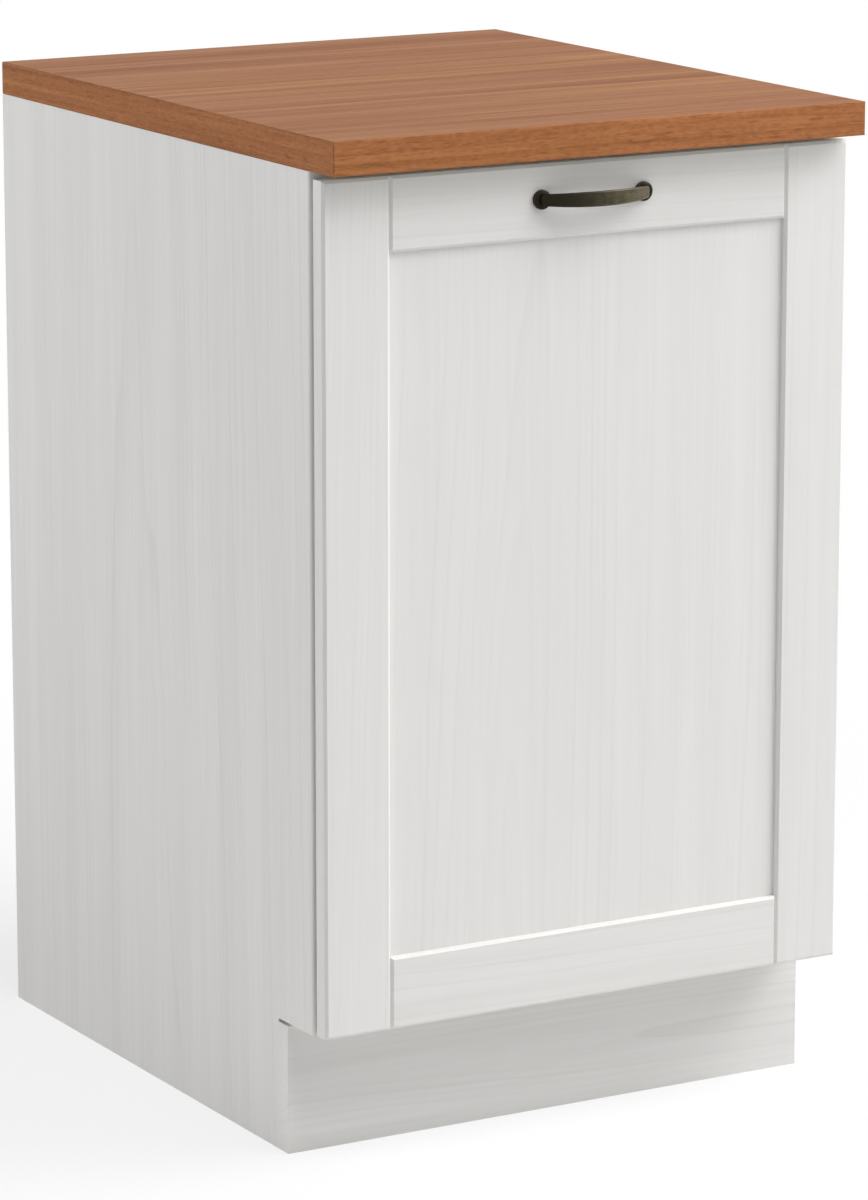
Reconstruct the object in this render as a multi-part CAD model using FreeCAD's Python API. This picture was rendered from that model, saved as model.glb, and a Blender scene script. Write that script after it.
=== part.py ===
import FreeCAD, Part
import math
import os

# A free-standing kitchen base cabinet in millimetres: front towards -Y, +Z up,
# origin on the floor under the middle of the worktop.

# Overall sizes
cabinet_width = 500.0
cabinet_height = 850.0
worktop_depth = 600.0
worktop_thickness = 28.0
worktop_edging = 2.0
worktop_bevel = 0.8

# Carcass boards
panel_thickness = 16.0
carcass_depth = 559.0
panel_bevel = 1.0
toe_kick_height = 113.0
plinth_slit = 3.0
plinth_setback = 43.0
rail_depth = 90.0
back_thickness = 3.0
back_inset = 12.0
groove_depth = 6.0
groove_clearance = 0.1

# Shelf and its pins
shelf_height = 452.0
shelf_setback = 30.0
shelf_clearance = 1.0
pin_radius = 2.5
pin_bore_depth = 9.0
pin_row_inset = 37.0
pin_pitch = 32.0
pin_holes_each_way = 3
pin_tongue_length = 9.0
pin_tongue_width = 8.0
pin_tongue_thickness = 3.0
pin_collar_radius = 4.0
pin_collar_thickness = 1.0

# Board joints: wooden dowels, cam bolts and cam locks
bore_clearance = 0.1
side_bore_floor = 4.5
dowel_radius = 4.0
dowel_in_board = 20.0
dowel_pitch = 32.0
bottom_cam_inset = 50.0
rail_cam_inset = 28.0
cam_distance = 34.0
cam_radius = 7.5
cam_bore_floor = 3.0
cam_drive_length = 9.0
cam_drive_width = 1.4
cam_drive_depth = 1.6
bolt_thread_radius = 4.0
bolt_shank_radius = 3.0
bolt_neck_radius = 1.9
bolt_neck_length = 5.0
bolt_head_length = 3.0
bolt_clearance = 0.3

# Screws
screw_head_height = 2.2
screw_head_radius = 3.6
screw_shank_radius = 1.8
screw_head_bevel = 0.4
cross_length = 3.8
cross_width = 0.9
cross_depth = 0.7
worktop_screw_bite = 15.0
worktop_screw_spacing = 300.0
plinth_screw_bite = 11.0

# Plinth corner blocks
block_size = 24.0
block_wall = 4.0
block_spacing = 300.0

# Door of stiles, rails and a thin panel held in a groove
door_side_reveal = 2.0
door_top_gap = 6.0
door_bottom_gap = 1.0
door_gap = 3.0
door_thickness = 16.0
frame_width = 61.0
frame_bevel = 2.3
back_edge_bevel = 0.6
door_panel_recess = 5.0
door_panel_thickness = 6.0
door_groove_depth = 10.0
door_groove_clearance = 0.1
bumper_radius = 4.0
bumper_clearance = 0.3
bumper_inset = 30.0

# Bowed pull on two rosettes
pull_spacing = 96.0
pull_drop = 28.5
pull_projection = 21.5
pull_thickness = 3.4
pull_run_out = 3.0
pull_end_overrun = 2.8
pull_end_round = 2.4
pull_width_mid = 12.4
pull_width_end = 9.4
pull_edge_round = 0.8
pull_foot_wall = 0.6
pull_foot_height = 2.2
rosette_radius = 8.0
rosette_rim = 2.4
rosette_height = 3.6
rosette_seat_radius = 4.4
pull_screw_radius = 2.0
pull_screw_head_radius = 3.8
pull_screw_head_height = 2.2
pull_screw_bite = 2.2

# Concealed hinges. Plan places are measured from the hinge side panel's front inner corner:
# first into the cabinet across the opening, then forward towards the door.
hinge_end_distance = 100.0
cup_edge_distance = 22.5
cup_radius = 17.5
cup_depth = 11.5
cup_wall = 1.0
cup_bore_clearance = 0.1
flange_thickness = 1.0
flange_radius = 18.5
cup_screw_spacing = 45.0
cup_screw_offset = 9.5
flange_ear_width = 12.0
flange_ear_reach = 6.0
cup_screw_radius = 1.6
cup_screw_head_radius = 3.2
cup_screw_head_height = 1.0
cup_screw_length = 10.0
outer_arm_pivot = (17.6, -2.9)
outer_cup_pivot = (-2.8, 6.3)
outer_lever_rise = 8.0
inner_arm_pivot = (24.8, -6.6)
inner_cup_pivot = (-2.9, 10.3)
inner_lever_rise = 7.0
lever_width = 3.2
lever_eye_radius = 2.5
lever_height = 5.5
lever_gap = 0.5
lever_side_clearance = 0.3
hinge_pin_radius = 1.2
hinge_pin_clearance = 0.1
arm_cheek = 1.5
arm_lobe_radius = 3.2
arm_length = 64.0
arm_lift = 2.3
arm_top = 8.5
arm_web_front = 20.0
plate_rail_height = 7.0
plate_rail_front = 18.0
plate_rail_length = 44.0
plate_ear_thickness = 2.0
plate_ear_width = 14.0
plate_screw_row = 37.0
plate_screw_spacing = 32.0
plate_screw_radius = 2.0
plate_screw_head_radius = 3.8
plate_screw_head_height = 1.6
plate_screw_bite = 10.0
arm_screw_row = 52.0
arm_screw_radius = 2.4
arm_screw_head_radius = 4.0
arm_screw_head_height = 2.0
arm_screw_bite = 5.0

# Places worked out from the sizes
half_width = cabinet_width / 2
inner_x = half_width - panel_thickness
back_y = worktop_depth / 2
carcass_front_y = back_y - carcass_depth
carcass_top_z = cabinet_height - worktop_thickness
back_panel_rear_y = back_y - back_inset
back_panel_front_y = back_panel_rear_y - back_thickness
bottom_top_z = toe_kick_height + panel_thickness
rail_under_z = carcass_top_z - panel_thickness
plinth_front_y = carcass_front_y + plinth_setback
plinth_back_y = plinth_front_y + panel_thickness
plinth_height = toe_kick_height - plinth_slit
door_half_width = half_width - door_side_reveal
door_back_y = carcass_front_y - door_gap
door_front_y = door_back_y - door_thickness
door_top_z = carcass_top_z - door_top_gap
door_bottom_z = toe_kick_height + door_bottom_gap
pull_z = door_top_z - pull_drop
hinge_heights = (door_bottom_z + hinge_end_distance, door_top_z - hinge_end_distance)
hinge_names = ("lower", "upper")
cup_place = inner_x - door_half_width + cup_edge_distance
pin_z = shelf_height - pin_radius
side_bore_depth = panel_thickness - side_bore_floor
cam_bore_depth = panel_thickness - cam_bore_floor
arm_inner_half = lever_gap + lever_height + lever_side_clearance
arm_outer_half = arm_inner_half + arm_cheek

along_x = FreeCAD.Vector(1, 0, 0)
along_y = FreeCAD.Vector(0, 1, 0)
along_z = FreeCAD.Vector(0, 0, 1)


def block(low, high):
    """Box between two opposite corners."""
    size = [high[axis] - low[axis] for axis in range(3)]
    return Part.makeBox(size[0], size[1], size[2], FreeCAD.Vector(*low))


def rod(start, direction, radius, length):
    """Cylinder from a start point along a direction."""
    return Part.makeCylinder(radius, length, FreeCAD.Vector(*start), direction)


def plate(points, start, thickness, direction):
    """Straight-sided outline, closed, moved to its start and thickened along a direction."""
    corners = [FreeCAD.Vector(*point) for point in points]
    face = Part.Face(Part.makePolygon(corners + corners[:1]))
    face.translate(FreeCAD.Vector(*start))
    return face.extrude(direction * thickness)


def screw(seat, direction, head_radius, head_height, shank_radius, shank_length):
    """Cross-slotted screw whose head lies on its seat and whose shank runs along the direction."""
    head = rod((0, 0, 0), along_z, head_radius, head_height)
    head = head.makeChamfer(screw_head_bevel, edges_on(head, lambda point: same(point.z, head_height)))
    shape = head.fuse(rod((0, 0, 0), along_z * -1, shank_radius, shank_length)).removeSplitter()
    for long_x, long_y in ((cross_length, cross_width), (cross_width, cross_length)):
        shape = shape.cut(block((-long_x / 2, -long_y / 2, head_height - cross_depth),
                                (long_x / 2, long_y / 2, head_height)))
    shape.Placement = FreeCAD.Placement(FreeCAD.Vector(*seat), FreeCAD.Rotation(along_z, direction * -1))
    return shape


def same(first, second):
    """Whether two places agree within a hundredth of a millimetre."""
    return math.isclose(first, second, abs_tol=0.01)


def edges_on(shape, test):
    """Edges whose every vertex passes a test."""
    return [edge for edge in shape.Edges if all(test(vertex.Point) for vertex in edge.Vertexes)]


def save(name, *solids):
    """Write one node, as one solid or as a group of separate solids."""
    shape = solids[0] if len(solids) == 1 else Part.makeCompound(solids)
    shape.exportStep("parts/" + name + ".step")


def board_ends():
    """Each joint end of the bottom and the two rails: side, cam place, dowel place, mid height, board."""
    rail_back_y = back_panel_front_y - rail_depth
    bottom_mid_z = toe_kick_height + panel_thickness / 2
    rail_mid_z = carcass_top_z - panel_thickness / 2
    rows = (
        (carcass_front_y + bottom_cam_inset, dowel_pitch, bottom_mid_z, "bottom"),
        (back_panel_front_y - bottom_cam_inset, -dowel_pitch, bottom_mid_z, "bottom"),
        (carcass_front_y + rail_cam_inset, dowel_pitch, rail_mid_z, "front_rail"),
        (rail_back_y + rail_cam_inset, dowel_pitch, rail_mid_z, "rear_rail"),
    )
    for side in (-1, 1):
        for cam_y, dowel_step, mid_z, board in rows:
            yield side, cam_y, cam_y + dowel_step, mid_z, board


def drill_board(shape, board_name):
    """Cam, bolt and dowel bores in one of the boards that run between the sides."""
    for side, cam_y, dowel_y, mid_z, board in board_ends():
        if board != board_name:
            continue
        inward = along_x * -side
        end_x = side * inner_x
        cam_up = along_z if board == "bottom" else along_z * -1
        cam_face_z = mid_z - cam_up.z * panel_thickness / 2
        cam_seat = (end_x - side * cam_distance, cam_y, cam_face_z)
        bolt_bore = rod((end_x, cam_y, mid_z), inward, bolt_shank_radius + bolt_clearance, cam_distance)
        cam_bore = rod(cam_seat, cam_up, cam_radius + bore_clearance, cam_bore_depth)
        dowel_bore = rod((end_x, dowel_y, mid_z), inward, dowel_radius + bore_clearance,
                         dowel_in_board + bore_clearance)
        shape = shape.cut(bolt_bore).cut(cam_bore).cut(dowel_bore)
    return shape


def cam_locks():
    """Cam locks: slotted discs that draw the bolt heads in."""
    locks = []
    for side, cam_y, dowel_y, mid_z, board in board_ends():
        cam_up = along_z if board == "bottom" else along_z * -1
        face_z = mid_z - cam_up.z * panel_thickness / 2
        centre_x = side * (inner_x - cam_distance)
        lock = rod((centre_x, cam_y, face_z), cam_up, cam_radius, cam_bore_depth - bore_clearance)
        head_room = bolt_shank_radius + bolt_clearance
        head_pocket = rod((centre_x - side * head_room, cam_y, mid_z), along_x * side,
                          head_room, cam_radius * 2)
        lock = lock.cut(head_pocket)
        for long_x, long_y in ((cam_drive_length, cam_drive_width), (cam_drive_width, cam_drive_length)):
            drive = block((centre_x - long_x / 2, cam_y - long_y / 2, -cam_drive_depth),
                          (centre_x + long_x / 2, cam_y + long_y / 2, cam_drive_depth))
            drive.translate(along_z * face_z)
            lock = lock.cut(drive)
        locks.append(lock)
    return locks


def cam_bolts():
    """Turned bolts: thread in the side panel, shank, neck and head in the cam."""
    bolts = []
    thread_length = side_bore_depth - bore_clearance
    neck_start = cam_distance - bolt_neck_length
    for side, cam_y, dowel_y, mid_z, board in board_ends():
        inward = along_x * -side
        thread_start = side * (inner_x + thread_length)
        shank_start = side * inner_x
        neck_x = side * (inner_x - neck_start)
        head_x = neck_x - side * (bolt_neck_length - bolt_head_length)
        bolt = rod((thread_start, cam_y, mid_z), inward, bolt_thread_radius, thread_length)
        bolt = bolt.fuse(rod((shank_start, cam_y, mid_z), inward, bolt_shank_radius, neck_start))
        bolt = bolt.fuse(rod((neck_x, cam_y, mid_z), inward, bolt_neck_radius, bolt_neck_length))
        bolt = bolt.fuse(rod((head_x, cam_y, mid_z), inward, bolt_shank_radius, bolt_head_length))
        bolts.append(bolt.removeSplitter())
    return bolts


def dowels():
    """Wooden dowels, half in the side panel and half in the board's end."""
    in_side = side_bore_depth - bore_clearance
    return [rod((side * (inner_x + in_side), dowel_y, mid_z), along_x * -side, dowel_radius,
                in_side + dowel_in_board)
            for side, cam_y, dowel_y, mid_z, board in board_ends()]


def pin_rows():
    """Front and back rows of shelf pin holes."""
    return carcass_front_y + pin_row_inset, back_panel_front_y - pin_row_inset


def side_panel(side):
    """Side board to the floor with toe notch, back groove and every bore on its inner face."""
    outline = [(0, back_y, 0), (0, plinth_back_y, 0), (0, plinth_back_y, toe_kick_height),
               (0, carcass_front_y, toe_kick_height), (0, carcass_front_y, carcass_top_z),
               (0, back_y, carcass_top_z)]
    low_x = inner_x if side > 0 else -half_width
    panel = plate(outline, (low_x, 0, 0), panel_thickness, along_x)
    outer_x = side * half_width
    arris = edges_on(panel, lambda point: same(point.x, outer_x) and same(point.y, carcass_front_y))
    panel = panel.makeChamfer(panel_bevel, arris)
    groove_x = sorted((side * inner_x, side * (inner_x + groove_depth)))
    panel = panel.cut(block((groove_x[0], back_panel_front_y - groove_clearance, toe_kick_height),
                            (groove_x[1], back_panel_rear_y + groove_clearance, carcass_top_z)))
    outward = along_x * side
    for bore_side, cam_y, dowel_y, mid_z, board in board_ends():
        if bore_side == side:
            for bore_y, radius in ((cam_y, bolt_thread_radius), (dowel_y, dowel_radius)):
                panel = panel.cut(rod((side * inner_x, bore_y, mid_z), outward, radius + bore_clearance,
                                      side_bore_depth))
    for row_y in pin_rows():
        for step in range(-pin_holes_each_way, pin_holes_each_way + 1):
            panel = panel.cut(rod((side * inner_x, row_y, pin_z + step * pin_pitch), outward,
                                  pin_radius + bore_clearance, pin_bore_depth))
    if side > 0:
        for seat in plate_screw_seats():
            panel = panel.cut(rod((inner_x, seat[1], seat[2]), outward,
                                  plate_screw_radius + bore_clearance, plate_screw_bite + bore_clearance))
    return panel


def bottom_panel():
    """Bottom board with cam, dowel and plinth block screw bores."""
    board = block((-inner_x, carcass_front_y, toe_kick_height), (inner_x, back_panel_front_y, bottom_top_z))
    board = drill_board(board, "bottom")
    for seat in block_screw_seats(along_z):
        start = FreeCAD.Vector(seat[0], seat[1], toe_kick_height)
        board = board.cut(rod(start, along_z, screw_shank_radius + bore_clearance,
                              plinth_screw_bite + bore_clearance))
    return board


def worktop_screw_seats(rail_front_y):
    """Screw places on a rail's underside."""
    mid_y = rail_front_y + rail_depth / 2
    return [(side * worktop_screw_spacing / 2, mid_y, rail_under_z) for side in (-1, 1)]


def top_rail(rail_front_y, name):
    """Flat rail under the worktop, with through bores for the worktop screws."""
    rail = block((-inner_x, rail_front_y, rail_under_z), (inner_x, rail_front_y + rail_depth, carcass_top_z))
    rail = drill_board(rail, name)
    for seat in worktop_screw_seats(rail_front_y):
        rail = rail.cut(rod(seat, along_z, screw_shank_radius + bore_clearance, panel_thickness))
    return rail


def rail_fronts():
    """Front faces of the front rail and of the rear rail."""
    return carcass_front_y, back_panel_front_y - rail_depth


def worktop_screws():
    """Screws up through both rails into the worktop."""
    return [screw(seat, along_z, screw_head_radius, screw_head_height, screw_shank_radius,
                  panel_thickness + worktop_screw_bite)
            for front_y in rail_fronts() for seat in worktop_screw_seats(front_y)]


def worktop_board():
    """Core of the worktop inside its edging strips, with blind screw bores below."""
    edge_x = half_width - worktop_edging
    board = block((-edge_x, -worktop_depth / 2 + worktop_edging, carcass_top_z),
                  (edge_x, back_y, cabinet_height))
    for front_y in rail_fronts():
        for seat in worktop_screw_seats(front_y):
            start = (seat[0], seat[1], carcass_top_z)
            board = board.cut(rod(start, along_z, screw_shank_radius + bore_clearance,
                                  worktop_screw_bite + bore_clearance))
    return board


def worktop_front_edging():
    """Front edging strip across the whole width with eased front arrises."""
    front_y = -worktop_depth / 2
    strip = block((-half_width, front_y, carcass_top_z),
                  (half_width, front_y + worktop_edging, cabinet_height))
    arris = edges_on(strip, lambda point: same(point.y, front_y))
    return strip.makeChamfer(worktop_bevel, arris)


def worktop_side_edging(side):
    """Side edging strip behind the front strip with an eased top and bottom arris."""
    edge_x = sorted((side * half_width, side * (half_width - worktop_edging)))
    strip = block((edge_x[0], -worktop_depth / 2 + worktop_edging, carcass_top_z),
                  (edge_x[1], back_y, cabinet_height))
    outer_x = side * half_width
    arris = [edge for edge in edges_on(strip, lambda point: same(point.x, outer_x))
             if same(edge.Vertexes[0].Point.z, edge.Vertexes[1].Point.z)]
    return strip.makeChamfer(worktop_bevel, arris)


def back_panel():
    """Thin back board held in the side grooves."""
    edge_x = inner_x + groove_depth - groove_clearance
    return block((-edge_x, back_panel_front_y, toe_kick_height), (edge_x, back_panel_rear_y, carcass_top_z))


def shelf():
    """Loose shelf that lies on the pins."""
    edge_x = inner_x - shelf_clearance
    return block((-edge_x, carcass_front_y + shelf_setback, shelf_height),
                 (edge_x, back_panel_front_y - shelf_clearance, shelf_height + panel_thickness))


def shelf_pins():
    """Four pins: peg in the side, collar on its face and a flat tongue under the shelf."""
    pins = []
    for side in (-1, 1):
        for row_y in pin_rows():
            face = (side * inner_x, row_y, pin_z)
            peg = rod(face, along_x * side, pin_radius, pin_bore_depth - bore_clearance)
            collar = rod(face, along_x * -side, pin_collar_radius, pin_collar_thickness)
            under_shelf = block((-half_width, row_y - pin_tongue_width, pin_z - pin_collar_radius),
                                (half_width, row_y + pin_tongue_width, shelf_height))
            tongue_x = sorted((side * inner_x, side * (inner_x - pin_tongue_length)))
            tongue = block((tongue_x[0], row_y - pin_tongue_width / 2, shelf_height - pin_tongue_thickness),
                           (tongue_x[1], row_y + pin_tongue_width / 2, shelf_height))
            pins.append(peg.fuse(collar.common(under_shelf)).fuse(tongue).removeSplitter())
    return pins


def plinth_board():
    """Plinth board across the toe notches with pilot bores for its block screws."""
    board = block((-half_width, plinth_front_y, 0), (half_width, plinth_back_y, plinth_height))
    for seat in block_screw_seats(along_y):
        start = (seat[0], plinth_back_y, seat[2])
        board = board.cut(rod(start, along_y * -1, screw_shank_radius + bore_clearance,
                              plinth_screw_bite + bore_clearance))
    return board


def block_screw_seats(direction):
    """Screw places on the inner wall faces of the plinth blocks, towards the bottom or towards the plinth."""
    mid = (block_size + block_wall) / 2
    for side in (-1, 1):
        centre_x = side * block_spacing / 2
        if direction == along_z:
            yield centre_x, plinth_back_y + mid, toe_kick_height - block_wall
        else:
            yield centre_x, plinth_back_y + block_wall, toe_kick_height - mid


def plinth_blocks():
    """Moulded corner blocks: two walls and two triangular ribs, bored for a screw each way."""
    blocks = []
    outline = [(0, 0, 0), (0, block_size, 0), (0, 0, -block_size)]
    hollow = [(0, block_wall, -block_wall), (0, block_size, -block_wall), (0, block_wall, -block_size)]
    for side in (-1, 1):
        centre_x = side * block_spacing / 2
        corner = (centre_x - block_size / 2, plinth_back_y, toe_kick_height)
        gusset = plate(outline, corner, block_size, along_x)
        wall_up = block((corner[0], corner[1], corner[2] - block_size),
                        (corner[0] + block_size, corner[1] + block_wall, corner[2]))
        wall_back = block((corner[0], corner[1], corner[2] - block_wall),
                          (corner[0] + block_size, corner[1] + block_size, corner[2]))
        room_start = (corner[0] + block_wall, corner[1], corner[2])
        room = plate(hollow, room_start, block_size - 2 * block_wall, along_x)
        blocks.append(gusset.fuse(wall_up).fuse(wall_back).cut(room).removeSplitter())
    for direction, shift in ((along_z, along_z), (along_y, along_y * -1)):
        for index, seat in enumerate(block_screw_seats(direction)):
            hole = rod(FreeCAD.Vector(*seat), shift, screw_shank_radius + bore_clearance, block_wall)
            blocks[index] = blocks[index].cut(hole)
    return blocks


def plinth_screws():
    """Screws from the corner blocks up into the bottom and forward into the plinth."""
    length = block_wall + plinth_screw_bite
    pairs = ((along_z, along_z), (along_y, along_y * -1))
    return [screw(seat, way, screw_head_radius, screw_head_height, screw_shank_radius, length)
            for direction, way in pairs for seat in block_screw_seats(direction)]


def bevel_front(shape):
    """Bevel all round the front face of a door member."""
    arris = edges_on(shape, lambda point: same(point.y, door_front_y))
    return shape.makeChamfer(frame_bevel, arris)


def groove_room():
    """Depth range of the groove that holds the thin panel and the tongues."""
    front = door_front_y + door_panel_recess - door_groove_clearance
    back = door_front_y + door_panel_recess + door_panel_thickness + door_groove_clearance
    return front, back


def door_stile(side):
    """Full-height stile with the panel groove along its inner edge and an eased outer back arris."""
    outer_x = side * door_half_width
    seam_x = side * (door_half_width - frame_width)
    span = sorted((outer_x, seam_x))
    stile = block((span[0], door_front_y, door_bottom_z), (span[1], door_back_y, door_top_z))
    stile = bevel_front(stile)
    back_arris = edges_on(stile, lambda point: same(point.x, outer_x) and same(point.y, door_back_y))
    stile = stile.makeChamfer(back_edge_bevel, back_arris)
    groove = groove_room()
    groove_x = sorted((seam_x, seam_x + side * door_groove_depth))
    stile = stile.cut(block((groove_x[0], groove[0], door_bottom_z), (groove_x[1], groove[1], door_top_z)))
    return stile


def hinge_stile():
    """Hinge-side stile with a bore for each cup and pilot bores for the cup screws."""
    stile = door_stile(1)
    for height in hinge_heights:
        cup_bore = rod((0, 0, 0), along_y, cup_radius + cup_bore_clearance, cup_depth + cup_bore_clearance)
        cup_bore.translate(FreeCAD.Vector(cup_place, door_gap, 0))
        stile = stile.cut(place_hinge(cup_bore, height))
        for seat in cup_screw_seats():
            pilot = rod((seat[0], door_gap, seat[2]), along_y, cup_screw_radius + bore_clearance,
                        cup_screw_length + bore_clearance)
            stile = stile.cut(place_hinge(pilot, height))
    return stile


def door_rail(low_z, groove_low_z):
    """Rail between the stiles with a tongue at each end and the panel groove along its inner edge."""
    seam_x = door_half_width - frame_width
    high_z = low_z + frame_width
    rail = bevel_front(block((-seam_x, door_front_y, low_z), (seam_x, door_back_y, high_z)))
    groove = groove_room()
    tongue_x = seam_x + door_groove_depth - door_groove_clearance
    tongue = block((-tongue_x, groove[0] + door_groove_clearance, low_z + frame_bevel),
                   (tongue_x, groove[1] - door_groove_clearance, high_z - frame_bevel))
    slot = block((-tongue_x, groove[0], groove_low_z),
                 (tongue_x, groove[1], groove_low_z + door_groove_depth))
    return rail.fuse(tongue).cut(slot).removeSplitter()


def door_top_rail():
    """Top rail with the two through bores of the pull."""
    low_z = door_top_z - frame_width
    rail = door_rail(low_z, low_z)
    for side in (-1, 1):
        rail = rail.cut(rod((side * pull_spacing / 2, door_front_y, pull_z), along_y,
                            pull_screw_radius + bore_clearance, door_thickness))
    return rail


def door_bottom_rail():
    """Bottom rail."""
    return door_rail(door_bottom_z, door_bottom_z + frame_width - door_groove_depth)


def door_panel():
    """Thin centre panel in the grooves of the frame."""
    reach = door_groove_depth - door_groove_clearance
    edge_x = door_half_width - frame_width + reach
    front_y = door_front_y + door_panel_recess
    return block((-edge_x, front_y, door_bottom_z + frame_width - reach),
                 (edge_x, front_y + door_panel_thickness, door_top_z - frame_width + reach))


def door_bumpers():
    """Soft pads on the back of the free stile that meet the side panel's front edge."""
    length = door_gap - bumper_clearance
    pad_x = -(half_width + inner_x) / 2
    heights = (door_bottom_z + bumper_inset, door_top_z - bumper_inset)
    return [rod((pad_x, door_back_y, height), along_y, bumper_radius, length) for height in heights]


def arc_band(half_span, rise, end_depth, thickness):
    """Curved strap in plan: an arc over the span, thickened to both sides and run on past its two ends."""
    radius = (half_span ** 2 + rise ** 2) / (2 * rise)
    centre = FreeCAD.Vector(0, -end_depth - rise + radius, 0)
    sweep = math.asin((half_span + thickness) / radius)

    def point(distance, angle):
        return centre + FreeCAD.Vector(distance * math.sin(angle), -distance * math.cos(angle), 0)

    outer = radius + thickness / 2
    inner = radius - thickness / 2
    edges = [
        Part.Arc(point(outer, -sweep), point(outer, 0), point(outer, sweep)).toShape(),
        Part.LineSegment(point(outer, sweep), point(inner, sweep)).toShape(),
        Part.Arc(point(inner, sweep), point(inner, 0), point(inner, -sweep)).toShape(),
        Part.LineSegment(point(inner, -sweep), point(outer, -sweep)).toShape(),
    ]
    return Part.Face(Part.Wire(edges))


def pull_outline(reach, far_y):
    """Front outline of the strap, thickened to the door: widest in the middle, with round end corners."""
    mid = pull_width_mid / 2
    end = pull_width_end / 2
    left_top = FreeCAD.Vector(-reach, far_y, end)
    right_top = FreeCAD.Vector(reach, far_y, end)
    left_low = FreeCAD.Vector(-reach, far_y, -end)
    right_low = FreeCAD.Vector(reach, far_y, -end)
    face = Part.Face(Part.Wire([
        Part.Arc(left_top, FreeCAD.Vector(0, far_y, mid), right_top).toShape(),
        Part.LineSegment(right_top, right_low).toShape(),
        Part.Arc(right_low, FreeCAD.Vector(0, far_y, -mid), left_low).toShape(),
        Part.LineSegment(left_low, left_top).toShape(),
    ]))
    outline = face.extrude(along_y * -far_y)
    corners = [edge for edge in outline.Edges
               if same(abs(edge.Vertexes[0].Point.x), reach) and same(edge.Length, -far_y)]
    return outline.makeFillet(pull_end_round, corners)


def pull_bow():
    """Bowed strap that ends flat on the rosettes, with a round foot under each end bored for its screw."""
    half_span = pull_spacing / 2 + pull_run_out
    rise = pull_projection - pull_thickness / 2 - rosette_height
    strap = arc_band(half_span, rise, rosette_height, pull_thickness).extrude(along_z * pull_width_mid)
    strap.translate(along_z * (-pull_width_mid / 2))
    reach = pull_spacing / 2 + pull_end_overrun
    far_y = -pull_projection - pull_thickness
    strap = strap.common(pull_outline(reach, far_y))
    strap = strap.makeFillet(pull_edge_round, strap.Edges)
    strap = strap.common(block((-reach, far_y, -pull_width_mid), (reach, -rosette_height, pull_width_mid)))
    seats = [(side * pull_spacing / 2, -rosette_height, 0) for side in (-1, 1)]
    bore_radius = pull_screw_radius + bore_clearance
    for seat in seats:
        strap = strap.fuse(rod(seat, along_y * -1, bore_radius + pull_foot_wall, pull_foot_height))
    for seat in seats:
        strap = strap.cut(rod(seat, along_y * -1, bore_radius, pull_screw_bite + bore_clearance))
    strap.translate(FreeCAD.Vector(0, door_front_y, pull_z))
    return strap


def pull_rosettes():
    """Two turned rosettes with a domed shoulder that runs level into a flat seat for the bow."""
    hole = pull_screw_radius + bore_clearance
    seat = rosette_seat_radius
    span = rosette_radius - seat
    drop = rosette_height - rosette_rim
    dome = (span ** 2 + drop ** 2) / (2 * drop)
    half_turn = math.asin(span / dome) / 2
    shoulder_y = dome - dome * math.cos(half_turn) - rosette_height
    corner = [FreeCAD.Vector(hole, 0, 0), FreeCAD.Vector(rosette_radius, 0, 0),
              FreeCAD.Vector(rosette_radius, -rosette_rim, 0),
              FreeCAD.Vector(seat + dome * math.sin(half_turn), shoulder_y, 0),
              FreeCAD.Vector(seat, -rosette_height, 0), FreeCAD.Vector(hole, -rosette_height, 0)]
    profile = Part.Wire([
        Part.LineSegment(corner[0], corner[1]).toShape(),
        Part.LineSegment(corner[1], corner[2]).toShape(),
        Part.Arc(corner[2], corner[3], corner[4]).toShape(),
        Part.LineSegment(corner[4], corner[5]).toShape(),
        Part.LineSegment(corner[5], corner[0]).toShape(),
    ])
    rosettes = []
    for side in (-1, 1):
        rosette = Part.Face(profile).revolve(FreeCAD.Vector(0, 0, 0), along_y, 360)
        rosette.translate(FreeCAD.Vector(side * pull_spacing / 2, door_front_y, pull_z))
        rosettes.append(rosette)
    return rosettes


def pull_screws():
    """Machine screws from the back of the top rail into the bow's feet."""
    length = door_thickness + rosette_height + pull_screw_bite
    return [screw((side * pull_spacing / 2, door_back_y, pull_z), along_y * -1, pull_screw_head_radius,
                  pull_screw_head_height, pull_screw_radius, length)
            for side in (-1, 1)]


def place_hinge(shape, height):
    """Move a hinge piece from its own plan to the hinge side of the cabinet at a height."""
    shape.rotate(FreeCAD.Vector(0, 0, 0), along_z, 180)
    shape.translate(FreeCAD.Vector(inner_x, carcass_front_y, height))
    return shape


def plate_screw_seats():
    """Mounting plate screw places on the side panel's inner face, for both hinges."""
    row_y = carcass_front_y + plate_screw_row
    return [(inner_x - plate_ear_thickness, row_y, height + sign * plate_screw_spacing / 2)
            for height in hinge_heights for sign in (-1, 1)]


def cup_screw_seats():
    """Cup flange screw places in the hinge's own plan."""
    return [(cup_place + cup_screw_offset, door_gap - flange_thickness, sign * cup_screw_spacing / 2)
            for sign in (-1, 1)]


def hinge_cup():
    """Drawn cup with a flange and two screw ears, bored across for the lever pin."""
    centre = FreeCAD.Vector(cup_place, door_gap, 0)
    flange_start = centre - along_y * flange_thickness
    flange = rod(flange_start, along_y, flange_radius, flange_thickness)
    ear_x = cup_place + cup_screw_offset
    ear_half = cup_screw_spacing / 2
    bar = block((ear_x - flange_ear_width / 2, flange_start.y, -ear_half),
                (ear_x + flange_ear_width / 2, door_gap, ear_half))
    flange = flange.fuse(bar)
    for seat in cup_screw_seats():
        flange = flange.fuse(rod(seat, along_y, flange_ear_reach, flange_thickness))
    cup = flange.fuse(rod(centre, along_y, cup_radius, cup_depth))
    inner_depth = cup_depth + flange_thickness - cup_wall
    cup = cup.cut(rod(flange_start, along_y, cup_radius - cup_wall, inner_depth))
    for seat in cup_screw_seats():
        cup = cup.cut(rod(seat, along_y, cup_screw_radius + bore_clearance, flange_thickness))
    return cup.cut(cup_pin(hinge_pin_clearance)).removeSplitter()


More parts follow.
